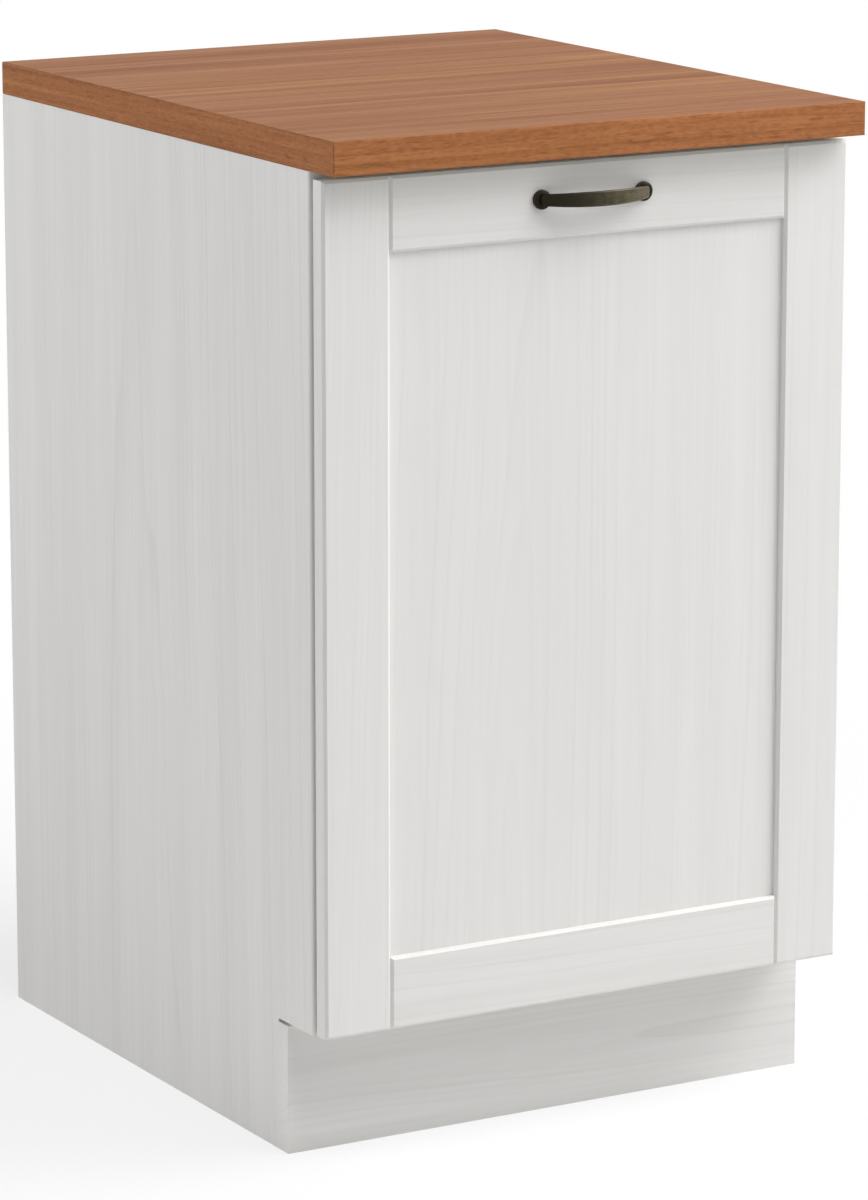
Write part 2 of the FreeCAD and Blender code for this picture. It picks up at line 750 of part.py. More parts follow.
def cup_pin(extra):
    """Pin of the outer lever, held in the cup's wall above the lever."""
    offset = cup_place - outer_cup_pivot[0] + hinge_pin_radius
    wall = math.sqrt(cup_radius ** 2 - offset ** 2)
    return rod((outer_cup_pivot[0], outer_cup_pivot[1], lever_gap), along_z,
               hinge_pin_radius + extra, wall - lever_gap + extra)


def lever(arm_pivot, cup_pivot, rise, low_w):
    """Hooked lever: an arched bar between two eyes, bored for its pins."""
    start = FreeCAD.Vector(arm_pivot[0], arm_pivot[1], low_w)
    end = FreeCAD.Vector(cup_pivot[0], cup_pivot[1], low_w)
    run = end - start
    side_way = FreeCAD.Vector(run.y, -run.x, 0).normalize()
    crown = (start + end) * 0.5 + side_way * rise
    centre = Part.Arc(start, crown, end).toShape().Curve.Center

    def offset(point, distance):
        return point + (point - centre).normalize() * distance

    half = lever_width / 2
    edges = [
        Part.Arc(offset(start, half), offset(crown, half), offset(end, half)).toShape(),
        Part.LineSegment(offset(end, half), offset(end, -half)).toShape(),
        Part.Arc(offset(end, -half), offset(crown, -half), offset(start, -half)).toShape(),
        Part.LineSegment(offset(start, -half), offset(start, half)).toShape(),
    ]
    shape = Part.Face(Part.Wire(edges)).extrude(along_z * lever_height)
    for eye in (start, end):
        shape = shape.fuse(rod(eye, along_z, lever_eye_radius, lever_height))
    for eye in (start, end):
        shape = shape.cut(rod(eye, along_z, hinge_pin_radius + hinge_pin_clearance, lever_height))
    return shape.removeSplitter()


def outer_lever():
    """Outer lever in the upper half of the hinge."""
    return lever(outer_arm_pivot, outer_cup_pivot, outer_lever_rise, lever_gap)


def inner_lever():
    """Inner lever in the lower half of the hinge."""
    return lever(inner_arm_pivot, inner_cup_pivot, inner_lever_rise, -lever_gap - lever_height)


def inner_lever_pin():
    """Pin riveted in the cup end of the inner lever."""
    return rod((inner_cup_pivot[0], inner_cup_pivot[1], -lever_gap - lever_height), along_z,
               hinge_pin_radius, lever_height)


def arm_pins(extra):
    """Stub pins of both levers, riveted in the arm's cheeks."""
    length = arm_outer_half - lever_gap
    return [rod((outer_arm_pivot[0], outer_arm_pivot[1], lever_gap), along_z,
                hinge_pin_radius + extra, length),
            rod((inner_arm_pivot[0], inner_arm_pivot[1], -lever_gap), along_z * -1,
                hinge_pin_radius + extra, length)]


def hinge_arm():
    """Channel arm over the plate's rail; its cheeks sweep up to two lobes that hold the lever pins."""
    outer = FreeCAD.Vector(outer_arm_pivot[0], outer_arm_pivot[1], 0)
    inner = FreeCAD.Vector(inner_arm_pivot[0], inner_arm_pivot[1], 0)
    way = (inner - outer).normalize()
    across = FreeCAD.Vector(-way.y, way.x, 0)
    outline = [(arm_lift, -arm_length, 0), (arm_lift, -plate_rail_front, 0),
               tuple(outer - way * arm_lobe_radius), tuple(outer + across * arm_lobe_radius),
               tuple(inner + across * arm_lobe_radius), tuple(inner + way * arm_lobe_radius),
               (arm_top, -arm_web_front - plate_rail_front, 0), (arm_top, -arm_length, 0)]
    arm = block((arm_top - arm_cheek, -arm_length, -arm_outer_half),
                (arm_top, -arm_web_front, arm_outer_half))
    for low_w in (arm_inner_half, -arm_outer_half):
        arm = arm.fuse(plate(outline, (0, 0, low_w), arm_cheek, along_z))
        for pivot in (outer, inner):
            arm = arm.fuse(rod(pivot + along_z * low_w, along_z, arm_lobe_radius, arm_cheek))
    for pin in arm_pins(0):
        arm = arm.cut(pin)
    arm = arm.cut(rod((0, -arm_screw_row, 0), along_x, arm_screw_radius + bore_clearance, arm_top))
    return arm.removeSplitter()


def arm_screw():
    """Screw that holds the arm on the plate's rail."""
    return screw((arm_top, -arm_screw_row, 0), along_x * -1, arm_screw_head_radius, arm_screw_head_height,
                 arm_screw_radius, arm_screw_bite)


def hinge_plate():
    """Mounting plate: a rail under the arm and two round ears for its screws."""
    rail_half = arm_inner_half - lever_side_clearance
    rail = block((0, -plate_rail_front - plate_rail_length, -rail_half),
                 (plate_rail_height, -plate_rail_front, rail_half))
    half = plate_ear_width / 2
    reach = plate_screw_spacing / 2
    wing = block((0, -plate_screw_row - half, -reach), (plate_ear_thickness, -plate_screw_row + half, reach))
    shape = rail.fuse(wing)
    for sign in (-1, 1):
        shape = shape.fuse(rod((0, -plate_screw_row, sign * reach), along_x, half, plate_ear_thickness))
    for sign in (-1, 1):
        shape = shape.cut(rod((0, -plate_screw_row, sign * reach), along_x,
                              plate_screw_radius + bore_clearance, plate_ear_thickness))
    bore_floor = arm_top - arm_screw_bite - bore_clearance
    shape = shape.cut(rod((bore_floor, -arm_screw_row, 0), along_x, arm_screw_radius + bore_clearance,
                          arm_screw_bite))
    return shape.removeSplitter()


def hinge_group(make):
    """One piece for each hinge, from a function that makes it in the hinge's own plan."""
    return [place_hinge(make(), height) for height in hinge_heights]


os.makedirs("parts", exist_ok=True)

save("worktop_board", worktop_board())
save("worktop_front_edging", worktop_front_edging())
for side, word in ((-1, "left"), (1, "right")):
    save("worktop_" + word + "_edging", worktop_side_edging(side))
    save("side_panel_" + word, side_panel(side))
save("bottom_panel", bottom_panel())
save("back_panel", back_panel())
front_rail_y, rear_rail_y = rail_fronts()
save("front_rail", top_rail(front_rail_y, "front_rail"))
save("rear_rail", top_rail(rear_rail_y, "rear_rail"))
save("worktop_screws", *worktop_screws())
save("shelf", shelf())
save("shelf_pins", *shelf_pins())
save("cam_locks", *cam_locks())
save("cam_bolts", *cam_bolts())
save("dowels", *dowels())
save("plinth_board", plinth_board())
save("plinth_blocks", *plinth_blocks())
save("plinth_screws", *plinth_screws())

save("door_free_stile", door_stile(-1))
save("door_hinge_stile", hinge_stile())
save("door_top_rail", door_top_rail())
save("door_bottom_rail", door_bottom_rail())
save("door_panel", door_panel())
save("door_bumpers", *door_bumpers())
save("pull_bow", pull_bow())
save("pull_rosettes", *pull_rosettes())
save("pull_screws", *pull_screws())

for name, cup, arm, plate_piece, outer, inner in zip(
        hinge_names, hinge_group(hinge_cup), hinge_group(hinge_arm), hinge_group(hinge_plate),
        hinge_group(outer_lever), hinge_group(inner_lever)):
    save("hinge_cup_" + name, cup)
    save("hinge_arm_" + name, arm)
    save("hinge_plate_" + name, plate_piece)
    save("hinge_outer_lever_" + name, outer)
    save("hinge_inner_lever_" + name, inner)
save("hinge_cup_pins", *hinge_group(lambda: cup_pin(0)))
save("hinge_lever_pins", *hinge_group(inner_lever_pin))
save("hinge_arm_pins", *[place_hinge(pin, height) for height in hinge_heights for pin in arm_pins(0)])
save("hinge_arm_screws", *hinge_group(arm_screw))
save("hinge_plate_screws", *[
    screw(seat, along_x, plate_screw_head_radius, plate_screw_head_height, plate_screw_radius,
          plate_ear_thickness + plate_screw_bite)
    for seat in plate_screw_seats()])
save("hinge_cup_screws", *[
    place_hinge(screw(seat, along_y, cup_screw_head_radius, cup_screw_head_height, cup_screw_radius,
                      flange_thickness + cup_screw_length), height)
    for height in hinge_heights for seat in cup_screw_seats()])
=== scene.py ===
"""Finishes, stage and camera for a kitchen base cabinet, laid out as an add-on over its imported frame."""
import math

import bpy
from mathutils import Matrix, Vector


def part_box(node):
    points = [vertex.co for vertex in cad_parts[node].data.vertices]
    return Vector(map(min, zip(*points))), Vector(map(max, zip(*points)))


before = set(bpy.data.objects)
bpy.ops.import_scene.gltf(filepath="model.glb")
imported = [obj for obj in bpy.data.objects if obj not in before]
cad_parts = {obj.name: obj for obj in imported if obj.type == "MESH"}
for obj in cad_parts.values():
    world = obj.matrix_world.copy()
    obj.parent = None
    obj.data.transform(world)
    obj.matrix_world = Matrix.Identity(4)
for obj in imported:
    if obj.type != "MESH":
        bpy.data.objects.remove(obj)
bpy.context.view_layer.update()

bl_info = {
    "name": "Kitchen base cabinet finishes",
    "version": (1, 0, 0),
    "blender": (4, 5, 0),
    "location": "3D View > Sidebar > Cabinet",
    "description": "Finishes the boards, worktop, pull and hinges of a base cabinet and sets the stage",
    "category": "Object",
}

# Turns that lay the grain along an axis of the cabinet
ALONG_X = (0.0, 0.0, 0.0)
ALONG_Y = (0.0, 0.0, math.radians(90.0))
ALONG_Z = (0.0, math.radians(90.0), 0.0)

# Middle value of any noise
NOISE_MIDDLE = 0.5

# Noise of the year rings: waves in a metre along and across the grain, detail and roughness
RING_DRIFT = (2.4, 7.0, 2.0, 0.5)
RING_CROWD = (0.9, 17.0, 1.0, 0.5)
RING_FADE = (0.7, 12.0, 1.0, 0.5)

# A year's growth: how steeply its late wood darkens, and where the dark line starts and ends its fall
LATE_WOOD = 3.0
YEAR_END = (0.9, 1.0)

# Ranges of the fading noise and of a year's chance over which a ring goes from unseen to full
FADE_RANGE = (0.25, 0.6)
SEASON_RANGE = (0.2, 0.9)

# Finer grain: noise as for the rings, then the range that is spread from 0 to 1
GRAIN_LAYERS = (
    ("Band", (1.0, 26.0, 5.0, 0.62), (0.3, 0.7)),
    ("Streak", (0.5, 75.0, 0.0, 0.5), (0.6, 0.74)),
    ("Mottle", (150.0, 500.0, 2.0, 0.6), (0.25, 0.75)),
    ("Fibre", (5.0, 260.0, 3.0, 0.6), (0.28, 0.72)),
    ("Pore", (60.0, 700.0, 1.0, 0.5), (0.58, 0.72)),
)

# Chips of raw board and tarnish of metal: waves in a metre along X, Y and Z, detail, roughness and range
CHIP_LAYERS = (
    ("Chip", (260.0, 420.0, 260.0), 2.0, 0.6, (0.4, 0.62)),
    ("Cloud", (9.0, 9.0, 9.0), 4.0, 0.6, (0.3, 0.7)),
)
TARNISH_LAYERS = (
    ("Patch", (130.0, 130.0, 190.0), 3.0, 0.6, (0.3, 0.7)),
    ("Rub", (160.0, 160.0, 900.0), 2.0, 0.6, (0.35, 0.7)),
)

# Edge mask: samples round each point, and how far the surface turns away where the mask starts and is full;
# on the pull it lays bright edges, partly rubbing and partly a painted highlight
EDGE_SAMPLES = 8
EDGE_TURN = (0.004, 0.06)

# How squarely a face must look along an axis to count as facing that way
FACING_LIMIT = 0.9

# Foil: the grain's values, the share of each layer in its lines, roughness and gloss
FOIL_GRAIN = {"Lean": 0.025, "Ring width": 0.005, "Wander": 0.012}
FOIL_SHARES = {"Ring": 0.5, "Fibre": 0.2, "Band": 0.3}
FOIL_ROUGHNESS = 0.5
FOIL_GLOSS = 0.35

# Boards in white foil: name, way of the grain, heart line, strength of the grain, raw back edge, nodes
WHITE_BOARDS = (
    ("White foil panel", ALONG_Z, (0.336, -0.243, -0.079), 0.8, False, ("door_panel",)),
    ("White foil stiles", ALONG_Z, (0.0, -0.2, -0.1), 0.9, False, ("door_free_stile", "door_hinge_stile")),
    ("White foil rails", ALONG_X, (0.0, -0.2, 0.46), 1.1, False, ("door_top_rail", "door_bottom_rail")),
    ("White foil plinth", ALONG_X, (0.1, -0.2, 0.05), 1.2, False, ("plinth_board",)),
    ("White foil inside", ALONG_X, (0.0, 0.05, 0.3), 1.0, False,
     ("bottom_panel", "shelf", "front_rail", "rear_rail")),
    ("White foil sides", ALONG_Z, (-0.344, 0.046, -0.13), 1.3, True, ("side_panel_left", "side_panel_right")),
)

# Back panel: shares of chips and clouds in the raw side, share of chips in the white side, and roughness
FLECK_SHARES = {"Chip": 0.4, "Cloud": 0.4}
WHITE_CHIP_SHARE = 0.15
BACK_ROUGHNESS = 0.55

# Laminate: the grain's values, how fine it is, shares of ring lines and pale streaks, roughness and gloss
LAMINATE_GRAIN = {"Heart": (0.0, 0.9, -0.25), "Ring width": 0.006, "Wander": 0.02}
BOARD_FINENESS = 0.42
EDGING_FINENESS = 0.85
LAMINATE_RINGS = 0.7
LAMINATE_STREAKS = 0.85
LAMINATE_ROUGHNESS = 0.5
LAMINATE_GLOSS = 0.06

# Bronze: where along the piece its painted light starts and is full, as shares of its length from the left;
# the piece is painted paler towards its right end, where the lamps on the right light it
BOW_PAINTED_LIGHT = (0.057, 1.169)
ROSETTE_PAINTED_LIGHT = (-2.18, 3.18)

# Bronze: shares of tarnish in the paleness, paleness without any tarnish, width of the bright edges (partly
# rubbing, partly a painted highlight), shine, roughness dark and pale
BRONZE_SHARES = {"Patch": 0.7, "Rub": 0.3}
BRONZE_EVEN_PALENESS = 0.5
BRONZE_EDGE = 0.0016
BRONZE_METALLIC = 0.55
BRONZE_GLOSS = 0.15
BRONZE_ROUGHNESS = (0.48, 0.34)

# Faint patches: their tone on metal and on wood or plastic, and the change of roughness by rubbing
METAL_PATCH_TONE = 0.86
SMALL_PATCH_TONE = 1.04
RUBBED_ROUGHNESS = (-0.06, 0.08)

# Metal, wood and plastic of the hardware
NICKEL_ROUGHNESS = 0.3
ZINC_ROUGHNESS = 0.36
CASTING_ROUGHNESS = 0.5
DOWEL_ROUGHNESS = 0.6
BLOCK_ROUGHNESS = 0.45
PAD_ROUGHNESS = 0.35
HINGE_PRESSINGS = ("hinge_cup", "hinge_arm", "hinge_plate", "hinge_outer_lever", "hinge_inner_lever")
SCREWS_AND_PINS = (
    "shelf_pins", "worktop_screws", "plinth_screws", "pull_screws", "cam_bolts", "hinge_cup_pins",
    "hinge_lever_pins", "hinge_arm_pins", "hinge_arm_screws", "hinge_plate_screws", "hinge_cup_screws",
)

# Lamps: name, degrees to the right of the front, degrees of height, distance, width, setting of the power
LAMP_AIM = (0.0, 0.0, 0.45)
LAMPS = (
    ("far_lamp", 54.0, 34.0, 15.0, 10.0, "far"),
    ("near_lamp", 62.0, 42.0, 3.5, 2.2, "near"),
    ("top_lamp", 0.0, 65.0, 12.0, 6.0, "above"),
    ("left_lamp", -115.0, 8.0, 4.0, 2.0, "fill"),
)

# Floor: width, and the distances from its middle between which its share of plain white rises
FLOOR_WIDTH = 60.0
FLOOR_WHITE = {"From Min": 0.4, "From Max": 1.6, "To Min": 0.75, "To Max": 1.0}


def tone(red, green, blue):
    """Linear colour from the 0 to 255 values of a screen colour."""
    return tuple((value / 255 / 12.92) if value <= 10 else ((value / 255 + 0.055) / 1.055) ** 2.4
                 for value in (red, green, blue))


def colour_property(name, description, value):
    """A colour that a user may change."""
    return bpy.props.FloatVectorProperty(name=name, description=description, subtype="COLOR", size=3,
                                         min=0.0, max=1.0, default=value)


def depth_property(name, description, value):
    """A fine depth that a user may change."""
    return bpy.props.FloatProperty(name=name, description=description, default=value, min=0.0,
                                   unit="LENGTH", precision=5)


def power_property(name, description, value):
    """The power of a lamp that a user may change."""
    return bpy.props.FloatProperty(name=name, description=description, default=value, min=0.0, unit="POWER")


def angle_property(name, description, value):
    """An angle that a user may change, given in degrees."""
    return bpy.props.FloatProperty(name=name, description=description, default=math.radians(value),
                                   subtype="ANGLE", unit="ROTATION")


class CabinetBoards(bpy.types.PropertyGroup):
    """Colours and grain of the white boards."""
    foil: colour_property("Foil", "White of the foil between its grain lines", tone(235, 234, 232))
    grain_line: colour_property("Grain line", "White of the foil in its grain lines", tone(220, 219, 216))
    raw_board: colour_property("Raw board", "Pressed chips on an edge without foil", tone(186, 156, 118))
    raw_chip: colour_property("Raw chip", "Dark chips on an edge without foil", tone(142, 110, 76))
    hardboard: colour_property("Hardboard", "Raw back of the thin back panel", tone(150, 110, 74))
    hardboard_fleck: colour_property("Hardboard fleck", "Dark flecks of the raw back", tone(112, 78, 50))
    grain_relief: depth_property("Grain relief", "Depth of the pressed grain", 0.00006)


class CabinetWorktop(bpy.types.PropertyGroup):
    """Colours of the worktop laminate."""
    light: colour_property("Light wood", "Light bands of the worktop", tone(170, 118, 76))
    dark: colour_property("Dark wood", "Dark bands of the worktop", tone(126, 68, 28))
    pore: colour_property("Pore", "Fine dark dashes of the worktop", tone(110, 66, 42))
    streak: colour_property("Streak", "Long pale streaks of the worktop", tone(186, 132, 74))
    backing: colour_property("Backing", "Paper on the underside of the worktop", tone(205, 198, 188))
    edge_light: colour_property("Edge light", "Light bands of the edging", tone(188, 125, 80))
    edge_dark: colour_property("Edge dark", "Dark bands of the edging", tone(146, 92, 56))
    pore_relief: depth_property("Pore relief", "Depth of the pressed pores", 0.00005)


class CabinetHardware(bpy.types.PropertyGroup):
    """Colours of the pull, the hinges and the fasteners."""
    bronze_deep: colour_property("Deep bronze", "Darkest bronze of the rosettes", tone(34, 30, 24))
    bronze: colour_property("Bronze", "Dark aged bronze of the pull", tone(40, 36, 26))
    # Pale bronze: the colour of tarnish patches, and of painted light at the right end of the pull
    bronze_pale: colour_property("Pale bronze", "Pale bronze of the tarnish patches and of the painted lit end", tone(104, 96, 76))
    # Bright edge bronze: partly rubbing, partly a painted highlight
    bronze_edge_highlight: colour_property("Bronze edge", "Bronze of the bright edges, rubbed and with a painted highlight", tone(190, 182, 160))
    nickel: colour_property("Nickel", "Nickel plate of the hinges", tone(205, 203, 198))
    zinc: colour_property("Zinc", "Zinc plate of screws and pins", tone(196, 197, 196))
    casting: colour_property("Casting", "Bare cast zinc of the cam locks", tone(160, 161, 160))
    dowel: colour_property("Dowel", "Beech of the dowels", tone(205, 170, 125))
    block: colour_property("Block", "White plastic of the plinth blocks", tone(228, 228, 225))
    pad: colour_property("Pad", "Soft pads behind the door", tone(214, 214, 208))


class CabinetStage(bpy.types.PropertyGroup):
    """Floor, lamps and camera."""
    floor: colour_property("Floor", "Pale floor as it is seen", tone(249, 249, 249))
    bounce: colour_property("Floor bounce", "Pale floor as it lights the cabinet", tone(235, 235, 235))
    sky: bpy.props.FloatProperty(name="Room light", description="Even light from all round",
                                 default=0.2, min=0.0)
    far: power_property("Far lamp", "Soft lamp far to the right in front", 906.0)
    near: power_property("Near lamp", "Soft lamp close by to the right", 64.4)
    above: power_property("Top lamp", "Soft lamp high above in front", 360.0)
    fill: power_property("Left lamp", "Soft lamp low to the left", 52.6)
    lens: bpy.props.FloatProperty(name="Lens", description="Focal length of the camera", default=161.8,
                                  min=1.0, subtype="DISTANCE_CAMERA", unit="CAMERA")
    turn: angle_property("Turn", "How far to the right of the front the camera stands", -29.834)
    rise: angle_property("Rise", "How high the camera stands over what it looks at", 12.571)
    distance: bpy.props.FloatProperty(name="Distance", description="From the camera to what it looks at",
                                      default=4.651, min=0.0, unit="LENGTH")
    aim: bpy.props.FloatVectorProperty(name="Aim", description="What the camera looks at",
                                       default=(0.0, -0.0214, 0.4033), subtype="TRANSLATION", unit="LENGTH")


def feed(tree, value, socket):
    """Link a socket to another, or set a plain value on it."""
    if isinstance(value, bpy.types.NodeSocket):
        tree.links.new(value, socket)
    else:
        socket.default_value = value


def add(tree, kind, **values):
    """A new node; values named like its sockets feed them, other values set the node itself."""
    node = tree.nodes.new(kind)
    for name, value in values.items():
        if name in node.inputs:
            feed(tree, value, node.inputs[name])
        else:
            setattr(node, name, value)
    return node


def math_node(tree, operation, *values, clamp=False):
    """A Math node fed by sockets or plain numbers; gives its output socket."""
    node = add(tree, "ShaderNodeMath", operation=operation, use_clamp=clamp)
    for socket, value in zip(node.inputs, values):
        feed(tree, value, socket)
    return node.outputs[0]


def vector_node(tree, operation, *values):
    """A Vector Math node fed by sockets or plain vectors; gives the node."""
    node = add(tree, "ShaderNodeVectorMath", operation=operation)
    for socket, value in zip(node.inputs, values):
        feed(tree, value, socket)
    return node


def weighted_sum(tree, layers, shares):
    """Sum of the named layers, each times its share."""
    total = 0.0
    for label, share in shares.items():
        total = math_node(tree, "MULTIPLY_ADD", layers[label], share, total)
    return total


def axes(tree, vector):
    """The X, Y and Z sockets of a vector."""
    return add(tree, "ShaderNodeSeparateXYZ", Vector=vector).outputs


def noise(tree, vector, stretch, detail, roughness):
    """Noise on stretched coordinates; gives its value socket."""
    scaled = vector_node(tree, "MULTIPLY", vector, stretch).outputs["Vector"]
    cloud = add(tree, "ShaderNodeTexNoise", Vector=scaled, Scale=1.0, Detail=detail, Roughness=roughness)
    return cloud.outputs[0]


def grain_noise(tree, vector, along, across, detail, roughness):
    """Noise with as many waves in a metre along X as it is told, and as many across."""
    return noise(tree, vector, (along, across, across), detail, roughness)


def map_range(tree, value, ends, interpolation="LINEAR"):
    """A Map Range node with the named ends set; gives its output socket."""
    node = add(tree, "ShaderNodeMapRange", interpolation_type=interpolation, Value=value)
    for label, number in ends.items():
        node.inputs[label].default_value = number
    return node.outputs["Result"]


def ramp(tree, value, low, high):
    """Value spread from 0 at low to 1 at high, smooth at both ends."""
    return map_range(tree, value, {"From Min": low, "From Max": high}, "SMOOTHSTEP")


def spread(tree, value, low, high):
    """Value from 0 to 1 spread evenly from low to high."""
    return map_range(tree, value, {"To Min": low, "To Max": high})


def blend_colours(tree, share, first, second):
    """Colour between two colours or colour sockets; gives its output socket."""
    node = add(tree, "ShaderNodeMix", data_type="RGBA", Factor=share)
    for socket, value in zip((node.inputs[6], node.inputs[7]), (first, second)):
        feed(tree, value if isinstance(value, bpy.types.NodeSocket) else (*value, 1.0), socket)
    return node.outputs[2]


def new_group(name, inputs, outputs):
    """An empty shader node group with named sockets; gives the group and its two end nodes."""
    group = bpy.data.node_groups.new(name, "ShaderNodeTree")
    for label, kind, value in inputs:
        socket = group.interface.new_socket(label, in_out="INPUT", socket_type=kind)
        if value is not None:
            socket.default_value = value
    for label in outputs:
        group.interface.new_socket(label, in_out="OUTPUT", socket_type="NodeSocketFloat")
    return group, group.nodes.new("NodeGroupInput"), group.nodes.new("NodeGroupOutput")


def wood_grain_group(name):
    """Grain along X round a heart line: year rings and finer layers, each from 0 to 1."""
    group, start, end = new_group(
        name,
        (("Vector", "NodeSocketVector", None), ("Heart", "NodeSocketVector", (0.0, 0.0, 0.0)),
         ("Lean", "NodeSocketFloat", 0.0), ("Ring width", "NodeSocketFloat", 0.005),
         ("Wander", "NodeSocketFloat", 0.01), ("Crowding", "NodeSocketFloat", 0.03)),
        ("Ring", *(label for label, waves, limits in GRAIN_LAYERS)))
    vector = start.outputs["Vector"]
    drift = math_node(group, "SUBTRACT", grain_noise(group, vector, *RING_DRIFT), NOISE_MIDDLE)
    drift = math_node(group, "MULTIPLY", drift, start.outputs["Wander"])
    sideways = add(group, "ShaderNodeCombineXYZ", Y=drift, Z=drift).outputs[0]
    bent = vector_node(group, "ADD", vector, sideways).outputs["Vector"]
    place = axes(group, vector_node(group, "SUBTRACT", bent, start.outputs["Heart"]).outputs["Vector"])
    lean = math_node(group, "MULTIPLY", place["X"], start.outputs["Lean"])
    deep = math_node(group, "ADD", place["Y"], lean)
    wide = math_node(group, "ADD", place["Z"], lean)
    reach = math_node(group, "MULTIPLY_ADD", deep, deep, math_node(group, "MULTIPLY", wide, wide))
    crowd = math_node(group, "SUBTRACT", grain_noise(group, bent, *RING_CROWD), NOISE_MIDDLE)
    crowd = math_node(group, "MULTIPLY", crowd, start.outputs["Crowding"])
    reach = math_node(group, "ADD", math_node(group, "SQRT", reach), crowd)
    turns = math_node(group, "DIVIDE", reach, start.outputs["Ring width"])
    year = math_node(group, "FRACT", turns)
    late = math_node(group, "POWER", year, LATE_WOOD)
    early = math_node(group, "SUBTRACT", 1.0, ramp(group, year, *YEAR_END))
    chance = add(group, "ShaderNodeTexWhiteNoise", noise_dimensions="1D", W=math_node(group, "FLOOR", turns))
    strong = math_node(group, "MULTIPLY", ramp(group, chance.outputs["Value"], *SEASON_RANGE),
                       ramp(group, grain_noise(group, bent, *RING_FADE), *FADE_RANGE))
    ring = math_node(group, "MULTIPLY", math_node(group, "MULTIPLY", late, early), strong)
    feed(group, ring, end.inputs["Ring"])
    for label, waves, limits in GRAIN_LAYERS:
        feed(group, ramp(group, grain_noise(group, bent, *waves), *limits), end.inputs[label])
    return group


def layered_group(name, layers):
    """A group with one output for each layer of noise, from 0 to 1."""
    labels = [layer[0] for layer in layers]
    group, start, end = new_group(name, (("Vector", "NodeSocketVector", None),), labels)
    for label, stretch, detail, roughness, limits in layers:
        cloud = noise(group, start.outputs["Vector"], stretch, detail, roughness)
        feed(group, ramp(group, cloud, *limits), end.inputs[label])
    return group


def chip_group(name):
    """Pressed wood chips and their broad clouds on raw board, from 0 to 1."""
    return layered_group(name, CHIP_LAYERS)


def tarnish_group(name):
    """Cloudy tarnish and fine rubbing on metal, from 0 to 1."""
    return layered_group(name, TARNISH_LAYERS)


def edge_group(name):
    """1 on the edges of a piece, as far in as a radius reaches, and 0 on its faces."""
    group, start, end = new_group(name, (("Radius", "NodeSocketFloat", 0.001),), ("Edge",))
    rounded = add(group, "ShaderNodeBevel", samples=EDGE_SAMPLES, Radius=start.outputs["Radius"])
    surface = add(group, "ShaderNodeNewGeometry")
    likeness = vector_node(group, "DOT_PRODUCT", rounded.outputs["Normal"], surface.outputs["Normal"])
    turned_away = math_node(group, "SUBTRACT", 1.0, likeness.outputs["Value"])
    feed(group, ramp(group, turned_away, *EDGE_TURN), end.inputs["Edge"])
    return group


def place_group(tree, name, make, values):
    """Outputs of a shared group, made on first use, with its own values or links."""
    node = add(tree, "ShaderNodeGroup", node_tree=bpy.data.node_groups.get(name) or make(name))
    for label, value in values.items():
        feed(tree, value, node.inputs[label])
    return node.outputs


def new_material(name, roughness, metallic=0.0, gloss=0.5):
    """A material with its own shader; gives the material, its tree, its shader and its coordinates."""
    material = bpy.data.materials.new(name)
    material.use_nodes = True
    tree = material.node_tree
    shader = tree.nodes["Principled BSDF"]
    shader.inputs["Roughness"].default_value = roughness
    shader.inputs["Metallic"].default_value = metallic
    shader.inputs["Specular IOR Level"].default_value = gloss
    coordinates = add(tree, "ShaderNodeTexCoord").outputs
    return material, tree, shader, coordinates


def turned(tree, coordinates, turn):
    """Object coordinates turned so that the grain runs along X."""
    mapping = add(tree, "ShaderNodeMapping", vector_type="TEXTURE", Vector=coordinates["Object"],
                  Rotation=turn)
    return mapping.outputs["Vector"]


def facing(tree, coordinates, axis, way=1.0):
    """1 where a face looks along an axis of its node, or against it where the way is negative, else 0."""
    along = math_node(tree, "MULTIPLY", axes(tree, coordinates["Normal"])[axis], way)
    return math_node(tree, "GREATER_THAN", along, FACING_LIMIT)


def relief(tree, shader, height, depth):
    """Bump from a height to the shader's normal."""
    bump = add(tree, "ShaderNodeBump", Strength=1.0, Distance=depth, Height=height)
    feed(tree, bump.outputs["Normal"], shader.inputs["Normal"])


def chips_on(tree, coordinates):
    """Outputs of the pressed chips at their place in the cabinet."""
    return place_group(tree, "Pressed chips", chip_group, {"Vector": coordinates["Object"]})


def raw_board(tree, coordinates, boards):
    """Colour of raw board."""
    return blend_colours(tree, chips_on(tree, coordinates)["Chip"], boards.raw_board, boards.raw_chip)


def tarnish_on(tree, coordinates):
    """Outputs of the tarnish at its place in the cabinet."""
    return place_group(tree, "Tarnish", tarnish_group, {"Vector": coordinates["Object"]})


def white_foil(name, turn, heart, strength, raw_back, boards):
    """White foil with printed wood grain round a heart line; the back edges may be left raw."""
    material, tree, shader, coordinates = new_material(name, FOIL_ROUGHNESS, gloss=FOIL_GLOSS)
    grain = place_group(tree, "Wood grain", wood_grain_group,
                        {"Vector": turned(tree, coordinates, turn), "Heart": heart, **FOIL_GRAIN})
    line = math_node(tree, "MULTIPLY", weighted_sum(tree, grain, FOIL_SHARES), strength)
    colour = blend_colours(tree, line, boards.foil, boards.grain_line)
    if raw_back:
        raw = raw_board(tree, coordinates, boards)
        colour = blend_colours(tree, facing(tree, coordinates, "Y"), colour, raw)
    feed(tree, colour, shader.inputs["Base Color"])
    relief(tree, shader, line, -boards.grain_relief)
    return material


def thin_back(boards):
    """Thin back panel: white towards the cabinet, raw hardboard towards the wall."""
    material, tree, shader, coordinates = new_material("White hardboard", BACK_ROUGHNESS)
    chips = chips_on(tree, coordinates)
    flecked = weighted_sum(tree, chips, FLECK_SHARES)
    raw = blend_colours(tree, flecked, boards.hardboard, boards.hardboard_fleck)
    faint = math_node(tree, "MULTIPLY", chips["Chip"], WHITE_CHIP_SHARE)
    white = blend_colours(tree, faint, boards.foil, boards.grain_line)
    feed(tree, blend_colours(tree, facing(tree, coordinates, "Y"), white, raw), shader.inputs["Base Color"])
    return material


